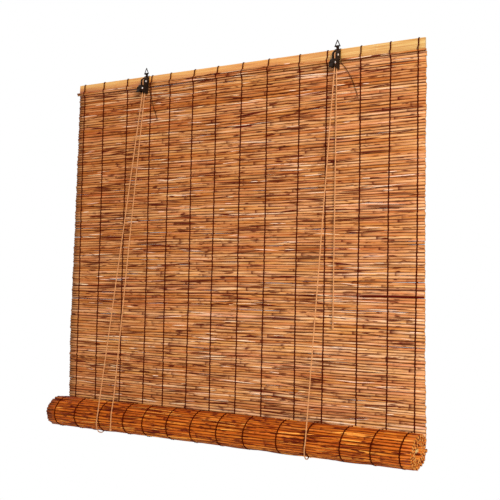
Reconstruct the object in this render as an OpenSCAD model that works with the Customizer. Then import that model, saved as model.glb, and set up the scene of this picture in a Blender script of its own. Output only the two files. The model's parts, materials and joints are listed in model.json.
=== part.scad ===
// Roll-up bamboo reed blind: a reed mat hung from a headrail slat, drawn up part way on two lift cords.
// X runs along the headrail, -Y is the front that faces the room, and Z is up.
// The origin lies at mid width on the line where two hooks hold the hanging rings.

/* [Blind] */
// Width of the woven mat
blind_w = 1000; // [900:10:1200]
// Height from the headrail's top edge down to the centre of the roll
drop_h = 884; // [700:1:1100]

/* [Reeds] */
// Mean thickness of a reed
reed_d = 7; // [6:0.1:7.4]
// Length of one gap between two reeds
gap_len = 44; // [20:1:52]
// Height of one gap between two reeds
gap_h = 1.6; // [1:0.1:2]
// Thickness of the woven wall between two reeds
weave_t = 2; // [1.4:0.1:3]

/* [Roll] */
// Radius of the roll at the centres of its outer reeds
roll_r = 38.5; // [32:0.5:48]
// Radial distance from one turn to the next
turn_pitch = 8.2; // [8:0.1:9.5]
// How far the roll's ends stand out past the mat's
roll_flare = 6; // [0:0.5:12]
// Height of the batten's section in the core of the roll
batten_h = 18; // [12:0.5:19]
// Thickness of the batten
batten_t = 6; // [4:0.5:7]

/* [Headrail] */
// Height of the headrail slat
rail_h = 30; // [24:1:40]
// How far the headrail's ends stand in from the mat's
rail_inset = 4; // [0:0.5:10]
// Thickness of the headrail slat
rail_t = 7; // [6:0.5:10]
// Radius of the slat's crowned front, the outside of the cane
rail_crown_r = 120; // [80:5:300]
// Distance from the hooks down to the headrail's top edge
rail_drop = 18; // [17:0.5:24]
// Length of a cane node's ridge along the slat
node_len = 7; // [4:0.5:12]
// Height of a cane node's ridge above the slat
node_rise = 0.6; // [0.3:0.1:1]

/* [Threads] */
// Width of a warp thread
thread_w = 3; // [1.6:0.1:3.6]
// Thickness of a warp thread
thread_t = 0.8; // [0.5:0.1:1]

/* [Hanging rings] */
// Width of a ring between the centres of its lower corners
ring_w = 13; // [12:0.5:18]
// Height of a ring between the centres of its bar and its apex
ring_h = 14.5; // [14:0.5:20]
// Thickness of the ring's wire
wire_d = 2.2; // [1.8:0.1:2.4]
// Distance of the left ring from the left end of the mat
left_inset = 237; // [200:1:300]
// Distance of the right ring from the right end of the mat
right_inset = 212; // [180:1:300]

/* [Cord locks] */
// Width of a lock housing over its two cheeks
housing_w = 12; // [11:0.5:15]
// Thickness of the housing's sheet steel
sheet_t = 1.3; // [1:0.1:1.6]
// Width of the tab that carries the ring's eye
tab_w = 7; // [5:0.5:7]
// Outer radius of the eye that is rolled round the ring's bar
eye_r = 2.6; // [2.4:0.1:3]
// Rounding of the cheeks' corners
cheek_corner = 1.5; // [0.5:0.1:2]
// Radius of a pulley over its flanges
pulley_r = 7; // [6.6:0.1:7.4]
// Width of a pulley
pulley_w = 7; // [5:0.5:8]
// Thickness of the pins that carry the pulley and the cam
pin_d = 3.6; // [3:0.1:4]
// Radius of a pin's riveted head
head_r = 3; // [2.6:0.1:3.4]
// Height of a pin's riveted head
head_h = 1.2; // [0.8:0.1:1.6]
// Radius of the cam's toothed face
cam_r = 6.7; // [6:0.1:6.8]
// Width of a cam
cam_w = 8; // [6:0.2:8.4]
// Length of the cam's lever from its pin
lever_len = 18; // [14:0.5:22]

/* [Cords] */
// Thickness of the lift and pull cords
cord_d = 3; // [2:0.1:3.2]
// Thickness of the tie twine
twine_d = 1.4; // [1:0.1:1.6]
// Thickness of the knot at a tie tail's end
tie_knot_d = 3.2; // [2:0.2:4]
// Thickness of an anchor knot
anchor_d = 6.4; // [5:0.2:8]
// Thickness of a stop knot on a pull cord
stop_d = 7; // [5:0.2:9]

/* [Hidden] */
$fn = 48;

// Clearances and cuts
pin_clear = 0.08;
seat_clear = 0.1;
thread_clear = 0.25;
reed_clear = 0.5;
cord_clear = 0.3;
overrun = 2;

// Rings: the inner apex, where a hook bears, is at z = 0
wire_r = wire_d / 2;
apex_angle = atan(ring_w / 2 / ring_h);
apex_z = wire_r / sin(apex_angle);
bar_z = apex_z - ring_h;
knuckle_share = 1.12;
left_x = left_inset - blind_w / 2;
right_x = blind_w / 2 - right_inset;

// Headrail, behind the rings' eyes
rail_front_y = eye_r + seat_clear;
mat_y = rail_front_y + rail_t / 2;
rail_back_y = rail_front_y + rail_t;
rail_top_z = -rail_drop;
rail_bottom_z = rail_top_z - rail_h;
node_shares = [-0.37, -0.06, 0.13, 0.385];

// Reeds: their thickness varies, and neighbours are pressed together
reed_spread_share = 0.06;
reed_pitch_share = 0.92;
reed_seed = 7;
reed_max = reed_d * (1 + reed_spread_share);
reed_pitch = reed_d * reed_pitch_share;

// The roll hangs in front, with its outer turn in line with the mat
roll_y = mat_y - roll_r;
roll_z = rail_top_z - drop_h;
core_r = batten_h / 2 + reed_max / 2 + reed_clear;
seam = (reed_max + cord_clear) / 2;

// Rows of the hanging mat
mat_top_z = rail_bottom_z - twine_d - 2 * seat_clear - reed_max / 2;
mat_bottom_z = roll_z + seam;
mat_reeds = ceil((mat_top_z - mat_bottom_z) / reed_pitch) + 1;
row_pitch = (mat_top_z - mat_bottom_z) / (mat_reeds - 1);
mat_noise = rands(-1, 1, mat_reeds, reed_seed);
function row_z(i) = mat_top_z - i * row_pitch;
function reed_r(noise) = reed_d / 2 * (1 + reed_spread_share * noise);

// Gaps that let light through, one to a row, each between two threads
gap_count = 110;
gap_seed = 21;

// Threads, as shares of the mat's width
thread_shares = [-0.477, -0.408, -0.327, -0.248, -0.187, -0.114, -0.044, 0.03, 0.103, 0.19, 0.262,
                 0.346, 0.417, 0.482];
thread_bays = len(thread_shares) - 1;
gap_bays = rands(0, thread_bays, gap_count, gap_seed);
thread_stop = 15;
roll_thread_end = 335;
roll_thread_step = 6;

// Turns of the roll: an even spiral from the mat's plane at the back, under the roll and inward
spiral_rate = turn_pitch / 360;
turn_rate = turn_pitch / (2 * PI);
roll_len = (roll_r * roll_r - core_r * core_r) / (2 * turn_rate);
roll_reeds = floor((roll_len - seam) / reed_pitch);
roll_noise = rands(-1, 1, roll_reeds, reed_seed + 1);
batten_angle = spiral_angle(seam + (roll_reeds - 1) * reed_pitch);
batten_room = spiral_r(batten_angle) - reed_r(roll_noise[roll_reeds - 1]) - cord_clear;
batten_shift = sqrt(batten_room * batten_room - batten_t * batten_t / 4) - batten_h / 2;
function spiral_r(angle) = roll_r - spiral_rate * angle;
function spiral_angle(run) = (roll_r - sqrt(roll_r * roll_r - 2 * turn_rate * run)) / turn_rate * 180 / PI;
function roll_point(angle, r) = [roll_y + r * cos(angle), roll_z - r * sin(angle)];

// Lock housing: a channel of folded sheet, its tab rising to the ring's eye
cord_r = cord_d / 2;
pin_r = pin_d / 2;
web_inset = 0.15;
web_rear_y = eye_r - web_inset;
web_front_y = web_rear_y - sheet_t;
channel_drop = 3;
channel_top_z = rail_top_z - channel_drop;
channel_gap = housing_w - 2 * sheet_t;
pulley_y = -7.5;
pulley_drop = 13;
pulley_z = channel_top_z - pulley_drop;
cheek_rim = 8;
groove_clear = 0.5;
strand_inset = 1;
strand_r = pulley_r - strand_inset;
strand_y = pulley_y - strand_r;
cam_drop = 21;
cam_y = strand_y - cord_r - cord_clear - cam_r;
cam_z = pulley_z - cam_drop;
cam_rim = 9;
cam_rise = 2.5;
anvil_front_y = strand_y + cord_r + cord_clear;
anvil_top_z = cam_z + cam_rim / 2;
anvil_bottom_z = cam_z - cam_rim + cheek_corner;
leg_foot = 2;
web_bottom_z = rail_bottom_z + channel_drop;

// Cam: teeth round its face, and a lever to let the cord go
cam_teeth = 7;
tooth_step = 14;
tooth_depth = 0.9;
lever_angle = 222;
lever_root = 8;
lever_tip = 3.5;

// Rivet heads are caps of a sphere
head_sphere_r = (head_r * head_r + head_h * head_h) / (2 * head_h);

// Lashing: two turns of twine round the slat, and a strand across the tab
lash_x = housing_w / 2 + twine_d / 2 + cord_clear;
lash_front_y = rail_front_y - seat_clear;
strap_y = web_front_y - seat_clear - twine_d;
strap_z = rail_top_z - twine_d;

// Routes of the cords: across from the hanger, then y and z; a sling's ends are behind and before the roll
cord_sides = 8;
knot_rise = 1;
under_roll = [
    [13.5, -902], [10.4, -919.7], [0.4, -934.7], [-14.6, -944.7], [-32.3, -948.2],
    [-50, -944.7], [-65, -934.7], [-75, -919.7], [-78.5, -902],
];
over_pulley = [[0, -13.5, -34], [0, -11.8, -29.8], [0, -8, -28]];
left_sling = [-110, -66];
right_sling = [-60, -25];
function lift_route(sling) = concat(
    [[0, 13.5, -47.5]],
    [for (i = [0 : len(under_roll) - 1])
        let (across = sling[0] + (sling[1] - sling[0]) * i / (len(under_roll) - 1))
        [across, under_roll[i][0], under_roll[i][1]]],
    [[0, -13.5, -60]],
    over_pulley
);
left_pull_route = [
    [0, -6.6, -28], [0, -3.2, -29.8], [0, -1.5, -34], [-1, -4, -62], [-8, -35, -400],
    [-16, -76, -850], [-19, -80.5, -890], [-20, -80.5, -925],
];
right_pull_route = [
    [0, -6.6, -28], [0, -3.2, -29.8], [0, -1.5, -34], [0, -3, -62], [2, -6, -200],
    [3, -8, -400], [3, -8, -650],
];
left_tail_route = [[8, -0.2, -49], [14, -0.6, -62], [21, -0.6, -84], [27, -0.6, -104], [39, -0.6, -132]];
right_tail_route = [[8, -0.2, -49], [18, -0.6, -60], [29, -0.6, -76], [38, -0.6, -92], [51, -0.6, -127]];

// A profile drawn in the plane of Y and Z, drawn out along X about a place
module along_x(length, x = 0)
    translate([x, 0, 0])
        rotate([90, 0, 90])
            linear_extrude(length, center = true)
                children();

// A ring of points square to a route at one of its points
function unit(v) = v / norm(v);
function heading(route, i) = unit(route[min(i + 1, len(route) - 1)] - route[max(i - 1, 0)]);
function ring(route, i, r) =
    let (
        t = heading(route, i),
        u = unit(cross(t, [1, 0, 0])),
        v = cross(t, u)
    )
    [for (k = [0 : cord_sides - 1])
        let (a = 360 * k / cord_sides)
        route[i] + r * (cos(a) * u + sin(a) * v)];

// A cord of even thickness swept along a route
module cord_tube(route, d) {
    last = len(route) - 1;
    rows = [for (i = [0 : last]) each ring(route, i, d / 2)];
    sides = [
        for (i = [0 : last - 1], k = [0 : cord_sides - 1])
            let (
                a = i * cord_sides + k,
                b = i * cord_sides + (k + 1) % cord_sides
            )
            each [[a, b + cord_sides, b], [a, a + cord_sides, b + cord_sides]]
    ];
    start_cap = [[for (k = [0 : cord_sides - 1]) k]];
    end_cap = [[for (k = [cord_sides - 1 : -1 : 0]) last * cord_sides + k]];
    polyhedron(rows, concat(sides, start_cap, end_cap));
}

// A triangular ring of bent wire: a bar, two legs and a knuckle at each bend
module hanging_ring(x)
    color("dimgray")
        translate([x, 0, 0]) {
            translate([0, 0, bar_z])
                rotate([0, 90, 0])
                    cylinder(r = wire_r, h = ring_w, center = true);
            for (side = [-1, 1]) {
                translate([side * ring_w / 2, 0, bar_z])
                    rotate([0, -side * apex_angle, 0])
                        cylinder(r = wire_r, h = norm([ring_w / 2, ring_h]));
                translate([side * ring_w / 2, 0, bar_z])
                    sphere(r = wire_r * knuckle_share);
            }
            translate([0, 0, apex_z])
                sphere(r = wire_r * knuckle_share);
        }

// A split cane's section: flat behind and crowned in front
module slat_section(rise)
    intersection() {
        translate([rail_front_y - rise, rail_bottom_z])
            square([rail_t + 2 * rise, rail_h]);
        translate([rail_front_y - rise + rail_crown_r, (rail_top_z + rail_bottom_z) / 2])
            circle(r = rail_crown_r, $fn = 96);
    }

// The headrail slat, with the ridges of the cane's nodes
module headrail()
    color("burlywood") {
        along_x(blind_w - 2 * rail_inset) slat_section(0);
        for (share = node_shares)
            along_x(node_len, share * blind_w) slat_section(node_rise);
    }

// The hanging reeds as one wall of ridges
module mat_wall()
    along_x(blind_w) {
        translate([mat_y - weave_t / 2, mat_bottom_z])
            square([weave_t, mat_top_z - mat_bottom_z]);
        for (i = [0 : mat_reeds - 1])
            translate([mat_y, row_z(i)])
                circle(r = reed_r(mat_noise[i]));
    }

// The reed mat with its scattered gaps
module reed_mat()
    color("peru")
        difference() {
            mat_wall();
            for (k = [0 : gap_count - 1]) {
                row = floor((k + 0.5) * (mat_reeds - 1) / gap_count);
                bay = floor(gap_bays[k]);
                share = (thread_shares[bay] + thread_shares[bay + 1]) / 2;
                translate([share * blind_w, mat_y, row_z(row) - row_pitch / 2])
                    cube([gap_len, reed_max + overrun, gap_h], center = true);
            }
        }

// The outline that a thread wraps, grown by a thickness: over the headrail and down both faces
module thread_wrap(grow, bottom_z) {
    rail_half = rail_t / 2 + node_rise + thread_clear + grow;
    mat_half = reed_max / 2 + thread_clear + grow;
    top_z = rail_top_z + thread_clear + grow;
    polygon([
        [mat_y - mat_half, bottom_z],
        [mat_y - mat_half, mat_top_z - row_pitch],
        [mat_y - rail_half, rail_bottom_z],
        [mat_y - rail_half, top_z],
        [mat_y + rail_half, top_z],
        [mat_y + rail_half, rail_bottom_z],
        [mat_y + mat_half, mat_top_z - row_pitch],
        [mat_y + mat_half, bottom_z],
    ]);
}

// The threads that bind the reeds and carry them from the headrail
module warp_threads()
    color("saddlebrown")
        for (share = thread_shares)
            along_x(thread_w, share * blind_w)
                difference() {
                    thread_wrap(thread_t, mat_bottom_z);
                    thread_wrap(0, mat_bottom_z - overrun);
                    translate([mat_y - rail_t, mat_bottom_z - overrun])
                        square([rail_t, thread_stop + overrun]);
                }

// Side view of a lock's cheek, round its two pins
module cheek_outline()
    difference() {
        offset(r = cheek_corner)
            offset(delta = -cheek_corner)
                polygon([
                    [web_rear_y, channel_top_z],
                    [-tab_w / 2, channel_top_z],
                    [pulley_y - cheek_rim, pulley_z + cheek_rim / 2],
                    [pulley_y - cheek_rim, cam_z + cam_rim],
                    [cam_y, cam_z + cam_rim],
                    [cam_y - cam_rim, cam_z],
                    [cam_y - cam_rim, cam_z - cam_rim / 2],
                    [cam_y, cam_z - cam_rim],
                    [pulley_y, cam_z - cam_rim],
                    [pulley_y, cam_z - cam_rim - leg_foot],
                    [web_front_y, cam_z - cam_rim - leg_foot],
                    [web_front_y, web_bottom_z],
                    [web_rear_y, web_bottom_z],
                ]);
        translate([pulley_y, pulley_z])
            circle(r = pin_r + pin_clear);
        translate([cam_y, cam_z])
            circle(r = pin_r + pin_clear);
    }

// A lock housing: two cheeks, the web between them, the anvil for the cord and the ring's eye
module lock_housing(x)
    color([0.16, 0.11, 0.08])
        difference() {
            union() {
                for (side = [-1, 1])
                    along_x(sheet_t, x + side * (housing_w - sheet_t) / 2)
                        cheek_outline();
                along_x(housing_w - sheet_t, x)
                    translate([web_front_y, web_bottom_z])
                        square([sheet_t, channel_top_z - web_bottom_z - cheek_corner]);
                along_x(tab_w, x)
                    translate([web_front_y, channel_top_z - cheek_rim])
                        square([sheet_t, bar_z - channel_top_z + cheek_rim]);
                along_x(channel_gap + sheet_t, x)
                    translate([anvil_front_y, anvil_bottom_z])
                        square([sheet_t, anvil_top_z - anvil_bottom_z]);
                along_x(tab_w, x)
                    translate([0, bar_z])
                        circle(r = eye_r);
            }
            along_x(housing_w + overrun, x)
                translate([0, bar_z])
                    circle(r = wire_r + pin_clear);
        }

// A riveted pin through both cheeks
module pin(x, y, z)
    color("lightgray")
        translate([x, y, z])
            rotate([0, 90, 0])
                rotate_extrude() {
                    translate([0, -housing_w / 2])
                        square([pin_r, housing_w]);
                    for (side = [0, 1])
                        mirror([0, side])
                            intersection() {
                                translate([0, housing_w / 2 + head_h - head_sphere_r])
                                    circle(r = head_sphere_r, $fn = 96);
                                translate([0, housing_w / 2])
                                    square([head_r, head_h]);
                            }
                }

// A grooved wheel that the lift cord turns
module pulley(x)
    color([0.3, 0.27, 0.24])
        translate([x, pulley_y, pulley_z])
            rotate([0, 90, 0])
                rotate_extrude()
                    difference() {
                        translate([pin_r + pin_clear, -pulley_w / 2])
                            square([pulley_r - pin_r - pin_clear, pulley_w]);
                        translate([strand_r, 0])
                            circle(r = cord_r + groove_clear);
                    }

// A toothed cam that grips the cord against the anvil, with its lever
module lock_cam(x)
    color([0.2, 0.15, 0.11])
        along_x(cam_w, x)
            translate([cam_y, cam_z])
                difference() {
                    union() {
                        translate([0, cam_rise])
                            circle(r = cam_r);
                        rotate(lever_angle)
                            polygon([
                                [0, lever_root / 2], [0, -lever_root / 2],
                                [lever_len, -lever_tip / 2], [lever_len, lever_tip / 2],
                            ]);
                    }
                    circle(r = pin_r + pin_clear);
                    translate([0, cam_rise])
                        for (i = [0 : cam_teeth - 1])
                            rotate((i - (cam_teeth - 1) / 2) * tooth_step + tooth_step / 2)
                                polygon([
                                    [cam_r - tooth_depth, 0],
                                    [cam_r + tooth_depth, -tooth_depth],
                                    [cam_r + tooth_depth, tooth_depth],
                                ]);
                }

// Twine round the slat on both sides of a housing, joined by a strand across its tab
module tie_lashing(x)
    color([0.25, 0.12, 0.05]) {
        for (side = [-1, 1])
            along_x(twine_d, x + side * lash_x)
                difference() {
                    translate([lash_front_y - twine_d, rail_bottom_z - seat_clear - twine_d])
                        square([rail_t + 2 * (seat_clear + twine_d), rail_h + 2 * (seat_clear + twine_d)]);
                    translate([lash_front_y, rail_bottom_z - seat_clear])
                        square([rail_t + 2 * seat_clear, rail_h + 2 * seat_clear]);
                }
        along_x(2 * lash_x, x)
            translate([strap_y, strap_z])
                square([twine_d, twine_d]);
        for (side = [-1, 1])
            along_x(twine_d, x + side * lash_x)
                translate([strap_y, strap_z])
                    square([lash_front_y - strap_y, twine_d]);
    }

// The loose end of the tie twine, with a small knot under it
module tie_tail(x, route)
    color([0.25, 0.12, 0.05])
        translate([x, 0, 0]) {
            cord_tube(route, twine_d);
            translate([0, 0, -tie_knot_d / 2 - seat_clear] + route[len(route) - 1])
                sphere(d = tie_knot_d);
        }

// The knot that holds a lift cord behind the headrail
module anchor_knot(x)
    color("wheat")
        translate([x, rail_back_y + anchor_d / 2 + seat_clear, rail_bottom_z + anchor_d / 2 + knot_rise])
            sphere(d = anchor_d);

// A lift cord: down the back, under the roll, up the front and over the pulley
module lift_cord(x, sling)
    color("wheat")
        translate([x, 0, 0])
            cord_tube(lift_route(sling), cord_d);

// A pull cord: from the pulley down the front to its free end
module pull_cord(x, route)
    color("wheat")
        translate([x, 0, 0])
            cord_tube(route, cord_d);

// The stop knot under a pull cord's end
module tail_knot(x, route)
    color("wheat")
        translate([x, 0, -stop_d / 2 - seat_clear] + route[len(route) - 1])
            sphere(d = stop_d);

// The rolled part of the mat: reeds along a spiral, each pressed to the next
module reed_roll()
    color("sienna")
        along_x(blind_w + 2 * roll_flare)
            for (i = [0 : roll_reeds - 1])
                let (angle = spiral_angle(seam + i * reed_pitch))
                translate(roll_point(angle, spiral_r(angle)))
                    circle(r = reed_r(roll_noise[i]));

// The threads that show round the outer turn of the roll
module roll_threads()
    color("saddlebrown")
        for (share = thread_shares)
            along_x(thread_w, share * blind_w)
                polygon(concat(
                    [for (a = [roll_thread_step : roll_thread_step : roll_thread_end])
                        roll_point(a, spiral_r(a) + reed_max / 2 + thread_clear)],
                    [for (a = [roll_thread_end : -roll_thread_step : roll_thread_step])
                        roll_point(a, spiral_r(a) + reed_max / 2 + thread_clear + thread_t)]
                ));

// The slat that the lower end of the mat is wound on, its edge against the last reed
module bottom_batten()
    color("tan")
        along_x(blind_w)
            translate(roll_point(batten_angle, batten_shift))
                rotate(-batten_angle)
                    square([batten_h, batten_t], center = true);

hanging_ring(left_x);  // left_hanging_ring
hanging_ring(right_x);  // right_hanging_ring
headrail();
reed_mat();
warp_threads();
lock_housing(left_x);  // left_lock_housing
lock_housing(right_x);  // right_lock_housing
pin(left_x, pulley_y, pulley_z);  // left_pulley_pin
pin(right_x, pulley_y, pulley_z);  // right_pulley_pin
pin(left_x, cam_y, cam_z);  // left_cam_pin
pin(right_x, cam_y, cam_z);  // right_cam_pin
pulley(left_x);  // left_pulley
pulley(right_x);  // right_pulley
lock_cam(left_x);  // left_lock_cam
lock_cam(right_x);  // right_lock_cam
tie_lashing(left_x);  // left_tie_lashing
tie_lashing(right_x);  // right_tie_lashing
tie_tail(left_x, left_tail_route);  // left_tie_tail
tie_tail(right_x, right_tail_route);  // right_tie_tail
anchor_knot(left_x);  // left_anchor_knot
anchor_knot(right_x);  // right_anchor_knot
lift_cord(left_x, left_sling);  // left_lift_cord
lift_cord(right_x, right_sling);  // right_lift_cord
pull_cord(left_x, left_pull_route);  // left_pull_cord
pull_cord(right_x, right_pull_route);  // right_pull_cord
tail_knot(left_x, left_pull_route);  // left_tail_knot
tail_knot(right_x, right_pull_route);  // right_tail_knot
reed_roll();
roll_threads();
bottom_batten();
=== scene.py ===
import functools
import json
import math

import bpy
import numpy as np
from mathutils import Matrix, Vector


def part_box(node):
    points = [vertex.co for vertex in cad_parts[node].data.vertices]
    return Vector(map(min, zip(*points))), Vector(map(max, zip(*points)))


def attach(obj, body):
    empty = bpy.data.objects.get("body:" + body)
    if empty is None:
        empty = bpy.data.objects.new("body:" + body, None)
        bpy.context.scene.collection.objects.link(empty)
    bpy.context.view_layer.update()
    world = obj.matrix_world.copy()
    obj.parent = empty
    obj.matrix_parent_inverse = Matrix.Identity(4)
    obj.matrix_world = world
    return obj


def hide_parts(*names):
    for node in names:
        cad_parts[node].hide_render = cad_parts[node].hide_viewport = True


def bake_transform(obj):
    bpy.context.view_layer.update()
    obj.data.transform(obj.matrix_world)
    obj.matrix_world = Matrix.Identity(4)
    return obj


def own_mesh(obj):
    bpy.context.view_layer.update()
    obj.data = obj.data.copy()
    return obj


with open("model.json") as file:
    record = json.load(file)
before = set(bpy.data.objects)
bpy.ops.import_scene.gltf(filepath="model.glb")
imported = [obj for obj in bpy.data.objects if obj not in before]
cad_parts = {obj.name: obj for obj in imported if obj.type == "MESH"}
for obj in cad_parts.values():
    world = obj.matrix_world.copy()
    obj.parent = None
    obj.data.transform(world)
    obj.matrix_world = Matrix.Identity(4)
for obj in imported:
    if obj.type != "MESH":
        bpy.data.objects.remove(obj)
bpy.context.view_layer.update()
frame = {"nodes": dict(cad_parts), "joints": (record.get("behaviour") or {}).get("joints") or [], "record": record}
print("frame loaded:", len(frame["nodes"]), "CAD nodes")

mm = 0.001
joints = {j["name"]: j for j in frame["joints"]}
mounts = {m["name"]: m["pos_m"] for m in frame["record"]["mounts"]}
hangerX = {"left": mounts["left_ring"][0], "right": mounts["right_ring"][0]}
rollY, rollZ = joints["roll_turn"]["pos_m"][1:]
railLow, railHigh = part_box("headrail")
matLow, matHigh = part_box("reed_mat")
matY = (matLow.y + matHigh.y) / 2


def unit(v):
    return v / np.linalg.norm(v, axis=-1, keepdims=True)


def stepLengths(path):
    return np.linalg.norm(np.diff(path, axis=0), axis=1)


def runAlong(path):
    return np.concatenate([[0], np.cumsum(stepLengths(path))])


def resample(points, step, passes=4):
    # evenly spaced points along a route, with its corners eased over a few steps
    points = np.asarray(points, float)
    run = runAlong(points)
    even = np.linspace(0, run[-1], max(3, int(round(run[-1] / step)) + 1))
    path = np.stack([np.interp(even, run, points[:, k]) for k in range(3)], axis=1)
    for _ in range(passes):
        path[1:-1] = (path[:-2] + 2 * path[1:-1] + path[2:]) / 4
    return path


def tubeFaces(rings, sides):
    # quads between rings, and a face over each end
    a = np.arange((rings - 1) * sides).reshape(rings - 1, sides)
    b = np.roll(a, -1, axis=1)
    quads = np.stack([a, b, b + sides, a + sides], axis=-1).reshape(-1, 4).tolist()
    start = list(range(sides))[::-1]
    end = list(range((rings - 1) * sides, rings * sides))
    return quads + [start, end]


def laidTube(path, radius, sides, strands=0, strandDepth=0.0, lay=1.0, flat=1.0):
    # a tube square to its path; strands that turn along it make it a laid cord
    path = np.asarray(path, float)
    along = unit(np.gradient(path, axis=0))
    out = np.zeros_like(path)
    # the first guide points well away from the path
    guide = np.array((1.0, 0, 0)) if abs(along[0, 0]) < 0.8 else np.array((0, 0, 1.0))
    for i in range(len(path)):
        guide = unit(guide - along[i] * np.dot(guide, along[i]))
        out[i] = guide
    side = np.cross(along, out)
    angle = np.arange(sides) * 2 * math.pi / sides
    turn = runAlong(path) * 2 * math.pi / lay
    strand = 1 - strandDepth + strandDepth * np.cos(strands * angle[None] - turn[:, None])
    reach = np.broadcast_to(np.asarray(radius, float).reshape(-1, 1), (len(path), 1)) * strand
    points = (path[:, None] + (reach * np.cos(angle))[..., None] * out[:, None]
              + flat * (reach * np.sin(angle))[..., None] * side[:, None])
    return points.reshape(-1, 3), tubeFaces(len(path), sides)


def makePiece(name, parts, material, attributes=None):
    # joins parts into one smooth mesh; attributes are lists of per-point arrays, one for each part
    points = np.concatenate([p for p, _ in parts])
    faces, start = [], 0
    for p, f in parts:
        faces += [[start + k for k in face] for face in f]
        start += len(p)
    mesh = bpy.data.meshes.new(name)
    mesh.from_pydata(points.tolist(), [], faces)
    mesh.polygons.foreach_set("use_smooth", [len(f) == 4 for f in faces])
    for key, values in (attributes or {}).items():
        layer = mesh.attributes.new(key, "FLOAT", "POINT")
        layer.data.foreach_set("value", np.concatenate(values).astype(np.float32))
    mesh.materials.append(material)
    mesh.update()
    piece = bpy.data.objects.new(name, mesh)
    bpy.context.scene.collection.objects.link(piece)
    return piece


def linear(hexColour):
    parts = [int(hexColour[i:i + 2], 16) / 255 for i in (1, 3, 5)]
    return tuple(c / 12.92 if c <= 0.04045 else ((c + 0.055) / 1.055) ** 2.4 for c in parts) + (1.0,)


def addNode(tree, kind, inputs=None, stops=None, **settings):
    made = tree.nodes.new("ShaderNode" + kind)
    for key, value in settings.items():
        setattr(made, key, value)
    for key, value in (inputs or {}).items():
        if isinstance(value, bpy.types.NodeSocket):
            tree.links.new(value, made.inputs[key])
        else:
            made.inputs[key].default_value = value
    if stops:
        ramp = made.color_ramp
        while len(ramp.elements) < len(stops):
            ramp.elements.new(0.5)
        for element, (place, colour) in zip(ramp.elements, stops):
            element.position = place
            element.color = linear(colour)
    return made


def newMaterial(name, **sockets):
    material = bpy.data.materials.new(name)
    material.use_nodes = True
    tree = material.node_tree
    tree.nodes.clear()
    shader = addNode(tree, "BsdfPrincipled", sockets)
    addNode(tree, "OutputMaterial", {"Surface": shader.outputs[0]})
    return material, tree, shader


stemLook = {
    "newPattern": 40.0,          # moves the pattern from stem to stem
    "streakShare": 0.9,          # of the fibre streaks in the tone
    "stemShare": 0.2,            # of the stem's own tone
    "darker": -0.08,
    # painted shade, darker upwards
    "bleachUp": -0.1,            # for each metre up
    "weather": [(0.3, "#fff0be"), (0.5, "#fffae8"), (0.7, "#ffe4d6")],
    "dashEdge": 0.09,
    "dashDepth": 0.9,
    # stain colour, also used for painted shade
    "stain": "#4e0600",
    # painted shade between stems
    "pooledStain": "#440000",
    "cutEnd": "#e0933f",
    "thinLine": (0.36, 0.76),    # the seating, and the sine of the angle at which the painted shade line begins
    "wideLine": (0.64, 0.12),
    "rough": (0.36, 0.6),
}


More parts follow.
